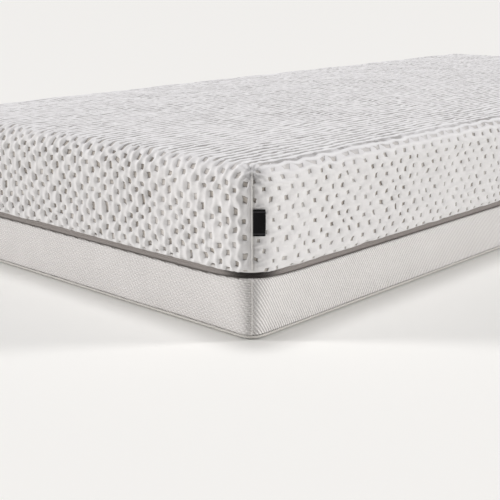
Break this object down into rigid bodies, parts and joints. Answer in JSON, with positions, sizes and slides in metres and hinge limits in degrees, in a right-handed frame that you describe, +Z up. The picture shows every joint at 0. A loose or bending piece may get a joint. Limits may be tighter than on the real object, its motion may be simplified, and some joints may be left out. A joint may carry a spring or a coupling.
{
  "type": "memory foam mattress",
  "caption": "Single memory foam mattress with a puffy knitted zip-off top cover, ribbed border, layered foam core, zip slider and a blank side label.",
  "frame": {"origin": "middle of the underside, on the surface the mattress lies on", "axes": "+Z up, +Y towards the head end along the length, +X towards the right-hand long side that carries the label corner"},
  "size_m": [0.9166, 1.9966, 0.2655],
  "materials": {
    "knit": "thick white double-jersey jacquard knit with sunk dashes and puffed ridges, matt",
    "wadding": "white polyester fibre wadding, matt",
    "border_cloth": "cream ribbed spacer cloth, matt",
    "bottom_cloth": "cream bottom cloth, matt",
    "binding": "light rolled edge tape",
    "support_foam": "open-cell polyurethane foam, pale blue, matt",
    "comfort_foam": "open-cell polyurethane foam, cream, matt",
    "memory_foam": "viscoelastic foam, off-white, matt",
    "zip_tape": "grey-brown woven zip tape",
    "zip_coil": "grey-brown nylon coil, satin",
    "zip_metal": "grey-brown lacquered zinc",
    "label_weave": "black damask label tape, slight sheen",
    "care_satin": "white satin label tape, blank"
  },
  "bodies": {
    "root": {"bottom_panel": "bottom_cloth", "bottom_binding": "binding", "border_foot": "border_cloth", "border_head": "border_cloth", "border_left": "border_cloth", "border_right": "border_cloth", "support_core": "support_foam", "comfort_layer": "comfort_foam", "memory_foam_layer": "memory_foam", "lower_zip_tape": "zip_tape", "lower_zip_coil": "zip_coil", "lower_zip_stop": "zip_metal", "care_label": "care_satin", "border_seam_foot_left": "border_cloth", "border_seam_foot_right": "border_cloth", "border_seam_head_left": "border_cloth", "border_seam_head_right": "border_cloth"},
    "upper_cover": {"upper_cover": "knit", "cover_wadding": "wadding", "cover_seam_foot_left": "knit", "cover_seam_foot_right": "knit", "cover_seam_head_left": "knit", "cover_seam_head_right": "knit", "side_label": "label_weave", "upper_zip_tape": "zip_tape", "upper_zip_coil": "zip_coil", "upper_zip_stop": "zip_metal"},
    "zip_slider": {"zip_slider": "zip_metal"},
    "zip_pull": {"zip_pull": "zip_metal"}
  },
  "joints": [
    {"name": "cover_lift", "type": "slide", "parent": "root", "child": "upper_cover", "axis": [0, 0, 1], "range_m": [0, 0.32]},
    {"name": "zip_run", "type": "slide", "parent": "root", "child": "zip_slider", "axis": [0, -1, 0], "range_m": [0, 1.7]},
    {"name": "pull_turn", "type": "hinge", "parent": "zip_slider", "child": "zip_pull", "pos_m": [-0.4489, 0.888, 0.095], "axis": [0, 0, 1], "range_deg": [0, 170]}
  ]
}
